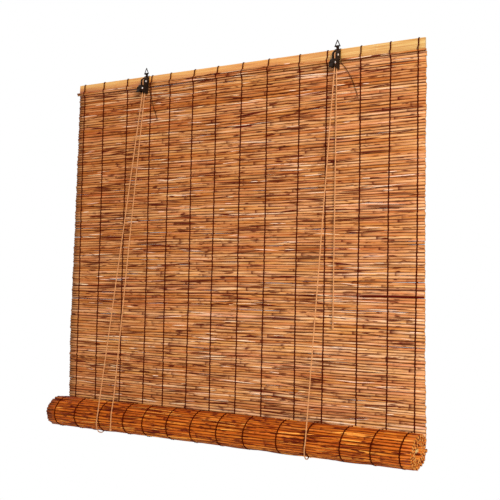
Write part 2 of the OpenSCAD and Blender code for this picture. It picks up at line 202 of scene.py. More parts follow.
def stainedReedStem(name, stops, dashFrom, gloss, sideLight):
    # Reed stems, dried and stained: a waxy skin with long fibre streaks, dark leaf scars and a pale cut
    material, tree, shader = newMaterial(name, **{"IOR": 1.5, "Specular IOR Level": gloss})
    place = addNode(tree, "TexCoord").outputs["Object"]
    tone = addNode(tree, "Attribute", attribute_name="reedTone").outputs["Fac"]
    scarAndShade = addNode(tree, "Attribute", attribute_name="leafScar").outputs["Fac"]
    cut = addNode(tree, "Attribute", attribute_name="cutEnd").outputs["Fac"]
    crevice = addNode(tree, "Attribute", attribute_name="crevice").outputs["Fac"]
    shift = addNode(tree, "Math", {0: tone, 1: stemLook["newPattern"]}, operation="MULTIPLY").outputs[0]
    # fibres about 70 mm long and 2.5 mm wide, new on every stem
    fibre = addNode(tree, "Mapping", {"Vector": place, "Scale": (14, 400, 400)}).outputs[0]
    streak = addNode(tree, "TexNoise", {"Vector": fibre, "W": shift, "Scale": 1, "Detail": 3,
                                        "Roughness": 0.6}, noise_dimensions="4D").outputs["Fac"]
    # dashes of old leaf sheath about 25 mm long and 4 mm wide
    sheath = addNode(tree, "Mapping", {"Vector": place, "Scale": (40, 260, 260)}).outputs[0]
    dash = addNode(tree, "TexNoise", {"Vector": sheath, "W": shift, "Scale": 1, "Detail": 2,
                                      "Roughness": 0.55}, noise_dimensions="4D").outputs["Fac"]
    low = addNode(tree, "Math", {0: streak, 1: stemLook["streakShare"], 2: stemLook["darker"]},
                  operation="MULTIPLY_ADD").outputs[0]
    mixed = addNode(tree, "Math", {0: tone, 1: stemLook["stemShare"], 2: low},
                    operation="MULTIPLY_ADD").outputs[0]
    # painted light: the right side and the lower part are painted paler, and the upper part darker
    apart = addNode(tree, "SeparateXYZ", {0: place}).outputs
    sideLit = addNode(tree, "Math", {0: apart["X"], 1: sideLight, 2: mixed}, operation="MULTIPLY_ADD").outputs[0]
    shade = addNode(tree, "Math", {0: apart["Z"], 1: stemLook["bleachUp"], 2: sideLit},
                    operation="MULTIPLY_ADD").outputs[0]
    ramp = addNode(tree, "ValToRGB", {0: shade}, stops=stops).outputs[0]
    # some stems weather yellow and some pink, in stretches of about 150 mm
    stretch = addNode(tree, "Mapping", {"Vector": place, "Scale": (7, 150, 150)}).outputs[0]
    weather = addNode(tree, "TexNoise", {"Vector": stretch, "W": shift, "Scale": 1, "Detail": 1},
                      noise_dimensions="4D").outputs["Fac"]
    tint = addNode(tree, "ValToRGB", {0: weather}, stops=stemLook["weather"]).outputs[0]
    base = addNode(tree, "Mix", {0: 1.0, 6: ramp, 7: tint},
                   data_type="RGBA", blend_type="MULTIPLY").outputs[2]
    deep = addNode(tree, "MapRange", {"Value": dash, "From Min": dashFrom,
                                      "From Max": dashFrom + stemLook["dashEdge"],
                                      "To Max": stemLook["dashDepth"]}).outputs[0]
    # the dashes and leaf scars are stain; the dark underside and the dark cut hollows that come in with the scars
    # are painted shade
    dark = addNode(tree, "Math", {0: deep, 1: scarAndShade}, operation="MAXIMUM").outputs[0]
    stainedAndShaded = addNode(tree, "Mix", {0: dark, 6: base, 7: linear(stemLook["stain"])},
                      data_type="RGBA").outputs[2]
    # painted shade: the dark line between two stems widens and thins, in stretches of about 60 mm
    seat = addNode(tree, "Mapping", {"Vector": place, "Scale": (16, 140, 140)}).outputs[0]
    seating = addNode(tree, "TexNoise", {"Vector": seat, "Scale": 1, "Detail": 2}).outputs["Fac"]
    thinAt, thin = stemLook["thinLine"]
    wideAt, wide = stemLook["wideLine"]
    rim = addNode(tree, "MapRange", {"Value": seating, "From Min": thinAt, "From Max": wideAt,
                                     "To Min": thin, "To Max": wide}).outputs[0]
    # painted shade where two stems meet
    creviceShadeMask = addNode(tree, "MapRange", {"Value": crevice, "From Min": rim, "From Max": 1.0}).outputs[0]
    creviceShaded = addNode(tree, "Mix", {0: creviceShadeMask, 6: stainedAndShaded, 7: linear(stemLook["pooledStain"])},
                     data_type="RGBA").outputs[2]
    ended = addNode(tree, "Mix", {0: cut, 6: creviceShaded, 7: linear(stemLook["cutEnd"])},
                    data_type="RGBA").outputs[2]
    tree.links.new(ended, shader.inputs["Base Color"])
    smooth, coarse = stemLook["rough"]
    rough = addNode(tree, "MapRange", {"Value": streak, "To Min": smooth, "To Max": coarse}).outputs[0]
    tree.links.new(rough, shader.inputs["Roughness"])
    bump = addNode(tree, "Bump", {"Strength": 0.35, "Distance": 0.3 * mm, "Height": streak}).outputs[0]
    tree.links.new(bump, shader.inputs["Normal"])
    return material


slatLook = {
    "edges": (-48 * mm, -18 * mm),     # heights of the lower and the upper edge
    # painted shade at the lower edge, painted light at the upper edge
    "edgeTone": (-0.5, 0.22),
    "ends": (-0.5, 0.5),
    "endShare": (1.0, -0.1),
    "skin": [(0.4, "#9a5e22"), (0.72, "#be9048"), (0.95, "#d0b474")],
    "tint": [(0.0, "#ffdcb4"), (0.6, "#ffd4a6"), (1.0, "#ffffff")],
    "rough": (0.35, 0.55),
}


def splitCaneSlat():
    # Split bamboo cane, planed and left pale: a satin skin with fine straight fibres
    material, tree, shader = newMaterial("splitCaneSlat", **{"IOR": 1.5, "Coat Weight": 0.15,
                                                             "Coat Roughness": 0.3})
    place = addNode(tree, "TexCoord").outputs["Object"]
    # fibres about 110 mm long and 3 mm wide
    fibre = addNode(tree, "Mapping", {"Vector": place, "Scale": (9, 300, 420)}).outputs[0]
    streak = addNode(tree, "TexNoise", {"Vector": fibre, "Scale": 1, "Detail": 4}).outputs["Fac"]
    # clouds about 200 mm long
    wide = addNode(tree, "Mapping", {"Vector": place, "Scale": (5, 30, 60)}).outputs[0]
    cloud = addNode(tree, "TexNoise", {"Vector": wide, "Scale": 1, "Detail": 2}).outputs["Fac"]
    both = addNode(tree, "Math", {0: cloud, 1: 0.5, 2: streak}, operation="MULTIPLY_ADD").outputs[0]
    # painted light and shade: the cane is painted paler towards its upper edge and darker towards its lower edge
    along = addNode(tree, "SeparateXYZ", {0: place})
    low, high = slatLook["edges"]
    dull, pale = slatLook["edgeTone"]
    edgeLight = addNode(tree, "MapRange", {"Value": along.outputs["Z"], "From Min": low, "From Max": high,
                                      "To Min": dull, "To Max": pale}).outputs[0]
    # this painted light and shade is strongest at the left end, and slightly reversed at the right end
    left, right = slatLook["ends"]
    atLeftEnd, atRightEnd = slatLook["endShare"]
    edgeLightScale = addNode(tree, "MapRange", {"Value": along.outputs["X"], "From Min": left, "From Max": right,
                                      "To Min": atLeftEnd, "To Max": atRightEnd}).outputs[0]
    shade = addNode(tree, "Math", {0: edgeLight, 1: edgeLightScale, 2: both}, operation="MULTIPLY_ADD").outputs[0]
    skin = addNode(tree, "ValToRGB", {0: shade}, stops=slatLook["skin"]).outputs[0]
    # and yellower towards its tip
    share = addNode(tree, "Math", {0: along.outputs["X"], 1: right}, operation="ADD").outputs[0]
    tint = addNode(tree, "ValToRGB", {0: share}, stops=slatLook["tint"]).outputs[0]
    base = addNode(tree, "Mix", {0: 1.0, 6: skin, 7: tint},
                   data_type="RGBA", blend_type="MULTIPLY").outputs[2]
    tree.links.new(base, shader.inputs["Base Color"])
    smooth, coarse = slatLook["rough"]
    rough = addNode(tree, "MapRange", {"Value": streak, "To Min": smooth, "To Max": coarse}).outputs[0]
    tree.links.new(rough, shader.inputs["Roughness"])
    bump = addNode(tree, "Bump", {"Strength": 0.3, "Distance": 0.2 * mm, "Height": streak}).outputs[0]
    tree.links.new(bump, shader.inputs["Normal"])
    return material


def twistedYarn(name, dark, light, fuzz):
    # Spun cotton or jute: matt, with short fibres of uneven tone
    material, tree, shader = newMaterial(name, **{"Roughness": 0.9, "Specular IOR Level": 0.02,
                                                  "Sheen Weight": fuzz})
    place = addNode(tree, "TexCoord").outputs["Object"]
    # fibres under 1 mm don't show from a step away, so they are drawn 3 mm long
    fibre = addNode(tree, "TexNoise", {"Vector": place, "Scale": 330, "Detail": 3}).outputs["Fac"]
    base = addNode(tree, "ValToRGB", {0: fibre}, stops=[(0.3, dark), (0.7, light)]).outputs[0]
    tree.links.new(base, shader.inputs["Base Color"])
    # and raised in grains of about 0.5 mm
    fine = addNode(tree, "TexNoise", {"Vector": place, "Scale": 1800, "Detail": 2}).outputs["Fac"]
    bump = addNode(tree, "Bump", {"Strength": 0.5, "Distance": 0.2 * mm, "Height": fine}).outputs[0]
    tree.links.new(bump, shader.inputs["Normal"])
    return material


def lacqueredSteel():
    # Stamped steel under dark bronze lacquer: dull and uneven, with an orange peel of about 1 mm
    material, tree, shader = newMaterial("darkLacqueredSteel", **{"Specular IOR Level": 0.15})
    place = addNode(tree, "TexCoord").outputs["Object"]
    # clouds of about 4 mm
    cloud = addNode(tree, "TexNoise", {"Vector": place, "Scale": 260, "Detail": 4}).outputs["Fac"]
    base = addNode(tree, "ValToRGB", {0: cloud}, stops=[(0.3, "#120a05"), (0.75, "#26170d")]).outputs[0]
    tree.links.new(base, shader.inputs["Base Color"])
    rough = addNode(tree, "MapRange", {"Value": cloud, "To Min": 0.5, "To Max": 0.7}).outputs[0]
    tree.links.new(rough, shader.inputs["Roughness"])
    peel = addNode(tree, "TexNoise", {"Vector": place, "Scale": 900, "Detail": 1}).outputs["Fac"]
    bump = addNode(tree, "Bump", {"Strength": 0.15, "Distance": 0.1 * mm, "Height": peel}).outputs[0]
    tree.links.new(bump, shader.inputs["Normal"])
    return material


def drawnSteel(name, dark, light, roughLow, roughHigh):
    # Bare drawn or riveted steel: metal with drawing marks of about 2 mm
    material, tree, shader = newMaterial(name, **{"Metallic": 1.0})
    place = addNode(tree, "TexCoord").outputs["Object"]
    mark = addNode(tree, "TexNoise", {"Vector": place, "Scale": 500, "Detail": 4}).outputs["Fac"]
    base = addNode(tree, "ValToRGB", {0: mark}, stops=[(0.3, dark), (0.7, light)]).outputs[0]
    tree.links.new(base, shader.inputs["Base Color"])
    rough = addNode(tree, "MapRange", {"Value": mark, "To Min": roughLow, "To Max": roughHigh}).outputs[0]
    tree.links.new(rough, shader.inputs["Roughness"])
    bump = addNode(tree, "Bump", {"Strength": 0.15, "Distance": 0.1 * mm, "Height": mark}).outputs[0]
    tree.links.new(bump, shader.inputs["Normal"])
    return material


reedSkin = stainedReedStem(
    "stainedReedStem", [(0.1, "#7a300a"), (0.38, "#b06834"), (0.62, "#d0986a"), (0.9, "#f4d4c2")],
    dashFrom=0.58, gloss=0.06, sideLight=0.09)
rolledSkin = stainedReedStem(
    "deepStainedReedStem", [(0.1, "#541200"), (0.38, "#923c08"), (0.62, "#be641c"), (0.9, "#eea852")],
    dashFrom=0.535, gloss=0.08, sideLight=0.08)
caneSkin = splitCaneSlat()
threadYarn = twistedYarn("darkSpunCotton", "#300700", "#4e1000", fuzz=0.0)
cordYarn = twistedYarn("laidCottonCord", "#aa6e40", "#ca8e5c", fuzz=0.1)
twineYarn = twistedYarn("waxedTwine", "#1a0803", "#35170a", fuzz=0.0)
lockLacquer = lacqueredSteel()
ringSteel = drawnSteel("dullSteelWire", "#14110e", "#322b25", roughLow=0.45, roughHigh=0.65)
rivetSteel = drawnSteel("brightRivetSteel", "#cfc8c0", "#f0ebe4", roughLow=0.3, roughHigh=0.5)
print("materials made:", len(bpy.data.materials))


viewFrom = {
    "place": (1.1282, -1.7622, -0.5843),
    "yaw": 31.10,      # degrees to the left of straight at the blind
    "pitch": 2.97,     # degrees upward
    "roll": 1.19,
    "lens": 61.87,     # mm
    "sensor": 36,
}


def makeCamera():
    yaw, pitch, roll = (math.radians(viewFrom[k]) for k in ("yaw", "pitch", "roll"))
    ahead = Vector((-math.sin(yaw) * math.cos(pitch), math.cos(yaw) * math.cos(pitch), math.sin(pitch)))
    level = Vector((math.cos(yaw), math.sin(yaw), 0))
    upright = level.cross(ahead)
    right = level * math.cos(roll) + upright * math.sin(roll)
    up = upright * math.cos(roll) - level * math.sin(roll)
    data = bpy.data.cameras.new("blindCamera")
    data.lens = viewFrom["lens"]
    data.sensor_width = viewFrom["sensor"]
    camera = bpy.data.objects.new("blindCamera", data)
    turn = Matrix((right, up, -ahead)).transposed().to_4x4()
    camera.matrix_world = Matrix.Translation(viewFrom["place"]) @ turn
    bpy.context.scene.collection.objects.link(camera)
    bpy.context.scene.camera = camera


makeCamera()
print("camera set")


# routes as in the part's source: across from the hanger, then y and z, in mm
underRoll = [(13.5, -902), (10.4, -919.7), (0.4, -934.7), (-14.6, -944.7), (-32.3, -948.2),
             (-50, -944.7), (-65, -934.7), (-75, -919.7), (-78.5, -902)]
overPulley = [(0, -13.5, -60), (0, -13.5, -34), (0, -11.8, -29.8), (0, -8, -28), (0, -6.6, -28),
              (0, -3.2, -29.8), (0, -1.5, -34)]
behindSlat = (0, 13.5, -47.5)
cordRoutes = {
    "left": {
        "sling": (-110, -66),
        "pull": [(-1, -4, -62), (-8, -35, -400), (-16, -76, -850)],
        "end": [(-16, -76, -850), (-19, -80.5, -890), (-20, -80.5, -925)],
        "tail": [(8, -0.2, -49), (14, -0.6, -62), (21, -0.6, -84), (27, -0.6, -104), (39, -0.6, -132)],
    },
    "right": {
        "sling": (-60, -25),
        "pull": [(0, -3, -62), (2, -6, -200), (3, -8, -400), (3, -8, -650)],
        "tail": [(8, -0.2, -49), (18, -0.6, -60), (29, -0.6, -76), (38, -0.6, -92), (51, -0.6, -127)],
    },
}
# a lay is one turn of the strands
liftCord = {"radius": 1.5 * mm, "lay": 13 * mm, "yarn": cordYarn, "slot": "lift_cord"}
tieTwine = {"radius": 0.7 * mm, "lay": 5 * mm, "yarn": twineYarn, "slot": "tie_twine"}
cordForm = {
    "strands": 3,
    "strandDepth": 0.13,     # share of the radius
    "sides": 12,
    "step": 2 * mm,
    "fineStep": 1 * mm,
    "carried": 0.05,         # share of a lift cord's front that goes up with the roll
    "raisedEnd": -0.128,     # a short pull cord stays above the drawn-up roll
}
knotForm = {
    "stop": (7 * mm, 1.2 * mm),      # the knot's size, and the radius of what it is tied in
    "anchor": (6.4 * mm, 1.2 * mm),
    "tie": (3.2 * mm, 0.6 * mm),
    "strandDepth": 0.1,
    "lay": 9 * mm,
    "sides": 10,
    "points": 73,
    "blendOver": 40,                 # metres, so that a knot keeps its shape
}


def routeOf(points, x):
    return [(x + px * mm, py * mm, pz * mm) for px, py, pz in points]


def cordPiece(name, path, cord):
    tube = laidTube(path, cord["radius"], cordForm["sides"], cordForm["strands"], cordForm["strandDepth"],
                    cord["lay"])
    return makePiece(name, [tube], cord["yarn"])


def knotPiece(name, centre, kind, cord):
    # an overhand knot: the closed three-lobed curve, which reaches 3 from its middle, drawn up tight
    size, radius = knotForm[kind]
    t = np.linspace(0, 2 * math.pi, knotForm["points"])
    lobes = [np.sin(t) + 2 * np.sin(2 * t), -1.3 * np.sin(3 * t), np.cos(t) - 2 * np.cos(2 * t)]
    curve = np.stack(lobes, axis=1) * ((size / 2 - radius) / 3)
    tube = laidTube(curve + np.array(centre), radius, knotForm["sides"], cordForm["strands"],
                    knotForm["strandDepth"], knotForm["lay"])
    return makePiece(name, [tube], cord["yarn"])


def midOf(node):
    low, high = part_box(node)
    return (low + high) / 2


def makeLiftCord(hand):
    routes, x = cordRoutes[hand], hangerX[hand]
    across = np.linspace(*routes["sling"], len(underRoll))
    under = [(a, y, z) for a, (y, z) in zip(across, underRoll)]
    bight = overPulley + routes["pull"][:1]
    leave = tuple(np.array(under[-1]) + cordForm["carried"] * np.subtract(bight[0], under[-1]))
    # one cord in stretches: what is drawn in hangs from the lock, and what the roll carries goes up with it
    drawnIn = {
        "LiftCord": [bight[0], leave],
        "BackCord": [behindSlat, under[0]],
        "PullCord": routes["pull"],
    }
    carried = {"SlingCord": [leave] + under[::-1]}
    if "end" in routes:
        carried["PullEnd"] = routes["end"]
    made, paths = {}, {}
    for part, points in {**drawnIn, **carried}.items():
        path = resample(routeOf(points, x), cordForm["step"])
        cord = cordPiece(hand + part, path, liftCord)
        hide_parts(hand + ("_pull_cord" if part.startswith("Pull") else "_lift_cord"))
        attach(cord, "lift_cords" if part in carried else "blind")
        made[part] = cord
        paths[part] = path
    for part in drawnIn:
        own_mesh(made[part])
    bend = cordPiece(hand + "CordBight", resample(routeOf(bight, x), cordForm["fineStep"]), liftCord)
    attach(bend, "blind")

    centre = midOf(hand + "_tail_knot")
    knot = knotPiece(hand + "StopKnot", centre, "stop", liftCord)
    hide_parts(hand + "_tail_knot")
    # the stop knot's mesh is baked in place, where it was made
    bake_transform(knot)


def makeTieTail(hand):
    path = resample(routeOf(cordRoutes[hand]["tail"], hangerX[hand]), cordForm["fineStep"])
    tail = cordPiece(hand + "TieTail", path, tieTwine)
    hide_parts(hand + "_tie_tail")
    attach(tail, "blind")
    drop = np.array((0, 0, knotForm["tie"][0] / 2))
    knot = knotPiece(hand + "TieKnot", path[-1] - drop, "tie", tieTwine)
    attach(knot, "blind")


def makeAnchorKnot(hand):
    knot = knotPiece(hand + "AnchorKnot", midOf(hand + "_anchor_knot"), "anchor", liftCord)
    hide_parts(hand + "_anchor_knot")
    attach(knot, "blind")


for hand in cordRoutes:
    makeLiftCord(hand)
    makeTieTail(hand)
    makeAnchorKnot(hand)
print("cords laid")


reedForm = {
    "radius": 3.7 * mm,
    "spread": 0.24,          # from stem to stem
    "press": 0.9,            # neighbours are drawn together
    "taper": 0.13,           # over a stem's length
    "swell": 0.05,
    "slowBend": 0.3 * mm,
    "fastBend": 0.2 * mm,
    "fastShare": (0.2, 1),
    "crookedShare": 0.06,    # stems that bend away from their neighbours
    "crookedBend": 0.55 * mm,
    "depthBend": 0.6,        # share of the slow bend
    "slowRate": (5, 16),     # radians for each metre along
    "fastRate": (30, 60),
    "swellRate": (20, 45),
    "depthRate": (8, 18),
    "step": 26 * mm,
    "sides": 10,
    "hollow": 0.36,          # share of the radius
    "hollowDeep": 5 * mm,
    "endJitter": 0.9 * mm,
}
scarForm = {
    "first": (0.01, 0.16),   # from the left end
    "spacing": (0.09, 0.26),
    "most": 12,
    "endRoom": 0.03,
    "rings": (-2.5 * mm, 0, 4 * mm, 12 * mm),
    "trail": (3, 13),        # mm, off one side
    "front": 1.2 * mm,
    "dark": (0.3, 1),
    "swell": 0.05,
    "swellReach": 1.5 * mm,
    # painted shade inside the cut hollow
    "inHollow": 0.7,
    "onRim": 0.1,
}
undersideForm = {
    "at": (-0.5, 0.28, 0.4, 0.5),
    "edge": (0.0, 0.0, 0.45, 0.6),     # sine of the angle up to which a stem's lower side is painted dark
    "fade": 3,
}
sliverForm = {
    "perStem": 5.5,                    # strips of torn leaf sheath
    "length": (18 * mm, 150 * mm),
    "halfWidth": (0.8 * mm, 1.9 * mm),
    "aside": 0.75,                     # share of the stem's radius
    "mostAside": 0.9,
    "proud": 0.1 * mm,
    "slant": 0.07,
    "flat": 0.3,
    "tip": 0.06,
    "belly": 0.7,
    "points": 7,
    "sides": 6,
    "paleShare": 0.34,                 # where the sheath took the skin with it; these pale strips also stand in for painted highlights
    "paleWidth": 0.6,
    "paleTone": 2.4,
    "darkTone": (0, 0.5),
    "darkScar": (0.8, 1),
    "darkCrevice": 0.3,
}


def leafScars(rng, x0, x1, step):
    # a scar is a dark ring with the torn leaf's base trailing off one side
    first = x0 + rng.uniform(*scarForm["first"])
    scars = first + np.cumsum(rng.uniform(*scarForm["spacing"], scarForm["most"]))
    scars = scars[scars < x1 - scarForm["endRoom"]]
    rings = [np.linspace(x0, x1, max(4, int((x1 - x0) / step)))]
    rings += [scars + d for d in scarForm["rings"]]
    x = np.unique(np.concatenate(rings))
    x = x[(x >= x0) & (x <= x1)]
    reach = rng.uniform(*scarForm["trail"], len(scars)) * mm
    gap = x[:, None] - scars[None]
    fall = np.exp(np.where(gap > 0, -gap / reach, gap / scarForm["front"]))
    trail = fall * rng.uniform(*scarForm["dark"], len(scars))
    if not len(scars):
        return x, 0 * x, 0 * x
    return x, trail.max(axis=1), np.exp(-np.abs(gap).min(axis=1) / scarForm["swellReach"])


def waver(rng, x, rates, phases=7):
    return np.sin(x * rng.uniform(*rates) + rng.uniform(0, phases))


def withEnds(values, first, last):
    return np.concatenate([first, values, last])


def reedStem(rng, x0, x1, y, z, radius, outward, step, bend=1.0, stain=0.0, wave=None, tone=None, slivers=0):
    # one stem with a slow bend, a taper, leaf scars and hollow cut ends
    x, scarAndShade, bump = leafScars(rng, x0, x1, step)
    crooked = rng.uniform() < reedForm["crookedShare"]
    slow = reedForm["crookedBend" if crooked else "slowBend"] * waver(rng, x, reedForm["slowRate"])
    fast = reedForm["fastBend"] * waver(rng, x, reedForm["fastRate"]) * rng.uniform(*reedForm["fastShare"])
    swell = 1 + reedForm["swell"] * waver(rng, x, reedForm["swellRate"])
    taper = 1 + reedForm["taper"] * rng.uniform(-1, 1) * (x - (x0 + x1) / 2) / (x1 - x0)
    r = radius * swell * taper * (1 + scarForm["swell"] * bump)
    yy = y + bend * reedForm["slowBend"] * waver(rng, x, reedForm["depthRate"]) * reedForm["depthBend"]
    zz = z + bend * (slow + fast) + (wave(x, z) if wave else 0)
    made = [sheathSliver(rng, x, yy, zz, r, outward) for _ in range(rng.poisson(slivers))]
    # the cut: a rim, then the hollow, painted dark inside as painted shade
    hole, deep = reedForm["hollow"], reedForm["hollowDeep"]
    hollowDark, rim = scarForm["inHollow"], scarForm["onRim"]
    x = withEnds(x, [x[0] + deep, x[0]], [x[-1], x[-1] - deep])
    r = withEnds(r, [hole * r[0]] * 2, [hole * r[-1]] * 2)
    yy = withEnds(yy, [yy[0]] * 2, [yy[-1]] * 2)
    zz = withEnds(zz, [zz[0]] * 2, [zz[-1]] * 2)
    scarAndShade = withEnds(scarAndShade, [hollowDark, rim], [rim, hollowDark])
    cut = np.zeros(len(x))
    cut[[1, -2]] = 1
    sides = reedForm["sides"]
    angle = np.arange(sides) * 2 * math.pi / sides + rng.uniform(0, 1)
    points = np.stack([np.broadcast_to(x[:, None], (len(x), sides)),
                       yy[:, None] + r[:, None] * np.cos(angle),
                       zz[:, None] + r[:, None] * np.sin(angle)], axis=-1)
    drawn = rng.uniform(0, 1)
    # painted shade: dark where a stem lies against the next one
    seat = np.abs(np.sin(angle - outward))
    # some stems are painted dark along their lower half, and higher up towards their right end; on the first row,
    # under the slat, this is painted shade
    edge = np.interp(x, undersideForm["at"], undersideForm["edge"])
    darkUnderside = stain * np.clip(undersideForm["fade"] * (edge[:, None] - np.sin(angle)), 0, 1)
    made.append(((points.reshape(-1, 3), tubeFaces(len(x), sides)), {
        "reedTone": np.full(len(x) * sides, drawn if tone is None else tone),
        "leafScar": np.maximum(np.repeat(scarAndShade, sides), darkUnderside.reshape(-1)),
        "cutEnd": np.repeat(cut, sides),
        "crevice": np.tile(seat, len(x)),
    }))
    return made


def sheathSliver(rng, x, y, z, r, outward):
    # a thin strip that lies along a stem's outer face and tapers to both ends
    length = min(math.exp(rng.uniform(*np.log(sliverForm["length"]))), (x[-1] - x[0]) / 2)
    start = rng.uniform(x[0], x[-1] - length)
    share = np.linspace(0, 1, sliverForm["points"])
    at = start + length * share
    yc, zc, rc = (np.interp(at, x, v) for v in (y, z, r))
    aside = rng.uniform(-sliverForm["aside"], sliverForm["aside"]) * rc
    aside = aside + rng.uniform(-1, 1) * sliverForm["slant"] * length * (share - 0.5)
    aside = np.clip(aside, -sliverForm["mostAside"] * rc, sliverForm["mostAside"] * rc)
    edgeLight = np.sqrt(rc ** 2 - aside ** 2) + sliverForm["proud"]
    path = np.stack([at, yc + math.cos(outward) * edgeLight - math.sin(outward) * aside,
                     zc + math.sin(outward) * edgeLight + math.cos(outward) * aside], axis=1)
    # a pale strip is pale sheath and a painted highlight both
    pale = rng.uniform() < sliverForm["paleShare"]
    half = rng.uniform(*sliverForm["halfWidth"]) * (sliverForm["paleWidth"] if pale else 1)
    width = half * (sliverForm["tip"] + np.sin(math.pi * share) ** sliverForm["belly"])
    points, faces = laidTube(path, width, sliverForm["sides"], flat=sliverForm["flat"])
    count = len(points)
    return (points, faces), {
        "reedTone": np.full(count, sliverForm["paleTone"] if pale else rng.uniform(*sliverForm["darkTone"])),
        "leafScar": np.full(count, 0.0 if pale else rng.uniform(*sliverForm["darkScar"])),
        "cutEnd": np.zeros(count),
        "crevice": np.full(count, 0.0 if pale else sliverForm["darkCrevice"]),
    }


def reedPiece(name, stems, material):
    keys = ("reedTone", "leafScar", "cutEnd", "crevice")
    attributes = {key: [made[key] for _, made in stems] for key in keys}
    return makePiece(name, [part for part, _ in stems], material, attributes)


def stemRadii(rng, count):
    return reedForm["radius"] * (1 + reedForm["spread"] * rng.uniform(-1, 1, count))


matForm = {
    "rows": 132,
    "splitRow": 20,          # rows above it stay open when the blind is drawn up
    "woundIn": 0.01,         # share of the lower rows' height that is left when they are wound up
    "seed": 11,
    "underSlat": 0.4 * mm,
    # painted shade under the slat: the first row's lower side is painted dark
    "darkRows": {0: 0.6},
    "paleRows": {1: 0.85},
    "seamHeights": {-0.563: 0.7, -0.578: 1.0},    # two dark rows across the mat
    "sag": [(0.9 * mm, 6, 9, 0), (0.5 * mm, 14, -23, 1)],    # waves: depth, radians a metre in x and z, phase
    "edgeAt": (-0.05, -0.35, -0.7, -0.86),        # the sides aren't quite straight; drifts in mm
    "leftDrift": (5, 1, -4, -1),
    "rightDrift": (-2, -2, 1, 5),
}
# rows of uneven stems, each against the next
rowRadii = stemRadii(np.random.default_rng(matForm["seed"]), matForm["rows"])
rowDrops = np.concatenate([[0], np.cumsum(rowRadii[:-1] + rowRadii[1:])])
matTop = railLow.z - rowRadii[0] + matForm["underSlat"]
matBottom = matLow.z + rowRadii[-1]
rowHeights = matTop - rowDrops * (matTop - matBottom) / rowDrops[-1]


def matWave(x, z):
    # the weave's own waves, about 1 m and 0.45 m long
    return sum(deep * np.sin(inX * x + inZ * z + phase) for deep, inX, inZ, phase in matForm["sag"])


def sideDrift(side, z):
    return np.interp(-z, [-at for at in matForm["edgeAt"]], matForm[side]) * mm


def windIn(piece):
    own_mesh(piece)


def makeMat():
    rng = np.random.default_rng(matForm["seed"] + 1)
    seams = {int(np.argmin(np.abs(rowHeights - z))): dark for z, dark in matForm["seamHeights"].items()}
    # the first row's dark underside is painted shade under the slat; the seam rows are two dark rows
    darkUndersides = {**matForm["darkRows"], **seams}
    upperStems, lowerStems = [], []
    for i, (z, radius) in enumerate(zip(rowHeights, rowRadii)):
        drift = [sideDrift("leftDrift", z), sideDrift("rightDrift", z)]
        ends = rng.uniform(-1, 1, 2) * reedForm["endJitter"] + drift
        made = reedStem(rng, matLow.x + ends[0], matHigh.x + ends[1], matY, z, radius, math.pi,
                        reedForm["step"], stain=darkUndersides.get(i, 0), wave=matWave,
                        tone=matForm["paleRows"].get(i), slivers=sliverForm["perStem"])
        (upperStems if i < matForm["splitRow"] else lowerStems).extend(made)
    upperStems += headStems(rng)
    upper = reedPiece("matUpperReeds", upperStems, reedSkin)
    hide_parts("reed_mat")
    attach(upper, "blind")
    lower = reedPiece("matLowerReeds", lowerStems, reedSkin)
    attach(lower, "blind")
    windIn(lower)


# slim stems woven in over the slat's lower edge; their heights in mm run along x
headForm = {
    "at": (-0.5, -0.3, -0.1, 0.12, 0.3, 0.5),
    "stems": [
        {"heights": (-45.6, -45.8, -45.4, -45.6, -45.8, -46.2),
         "radius": 2.2 * mm, "span": (-0.5, 0.5), "stain": 0.0},
        {"heights": (-41.2, -41.6, -40.6, -40.8, -43.6, -46.0),
         "radius": 2 * mm, "span": (-0.502, 0.34), "stain": 0.0},
        {"heights": (-37.6, -38.2, -36.9, -36.9, -40.0, -45.0),
         "radius": 1.5 * mm, "span": (-0.3, 0.2), "stain": 0.25},
    ],
    "lockRoom": 9.5 * mm,    # the stems are cut short of each lock
    "shortest": 0.03,
    "slivers": 2,
    "front": 4.6 * mm,       # how far the threads stand out over them
}


def headWave(x, z, heights):
    return np.interp(x, headForm["at"], heights) * mm - z


def headStems(rng):
    made = []
    for form in headForm["stems"]:
        left, right = form["span"]
        radius = form["radius"]
        wave = functools.partial(headWave, heights=form["heights"])
        cuts = [left]
        for x in sorted(hangerX.values()):
            cuts += [x - headForm["lockRoom"], x + headForm["lockRoom"]]
        cuts.append(right)
        for x0, x1 in zip(cuts[0::2], cuts[1::2]):
            x0, x1 = max(x0, left), min(x1, right)
            if x1 - x0 > headForm["shortest"]:
                made += reedStem(rng, x0, x1, railLow.y - radius, 0, radius, math.pi, reedForm["step"],
                                 stain=form["stain"], wave=wave, slivers=headForm["slivers"])
    return made


rollForm = {
    "radius": 38.5 * mm,
    "turnPitch": 8.2 * mm,
    "core": 13.2 * mm,
    "seam": 3.86 * mm,
    "mostStems": 200,
    "seed": 23,
    "uneven": (-0.5, 0.3),   # mm off the spiral
    "bend": 0.8,
    "innerStep": 0.12,       # the inner turns show only their ends
    "endJitter": 1.7 * mm,
    "slip": -1.5 * mm,       # the roll lies a little to the left
    "skew": 6.5 * mm,        # and its ends aren't quite square
    "skewFrom": 0.9,         # radians round the roll
}


def spiralAngle(run):
    rate = rollForm["turnPitch"] / (2 * math.pi)
    return (rollForm["radius"] - math.sqrt(rollForm["radius"] ** 2 - 2 * rate * run)) / rate


def spiralRadius(angle):
    return rollForm["radius"] - rollForm["turnPitch"] * angle / (2 * math.pi)


def rollSlip(angle):
    skew = rollForm["skew"] * spiralRadius(angle) / rollForm["radius"]
    return rollForm["slip"] + skew * np.cos(angle + rollForm["skewFrom"])


def rollStems():
    # angle and radius of every stem along the spiral, from the mat inward
    radii = stemRadii(np.random.default_rng(rollForm["seed"]), rollForm["mostStems"])
    run, angles = rollForm["seam"], []
    for i in range(len(radii) - 1):
        angle = spiralAngle(run)
        if spiralRadius(angle) < rollForm["core"]:
            break
        angles.append(angle)
        run += (radii[i] + radii[i + 1]) * reedForm["press"]
    return angles, radii[:len(angles)]


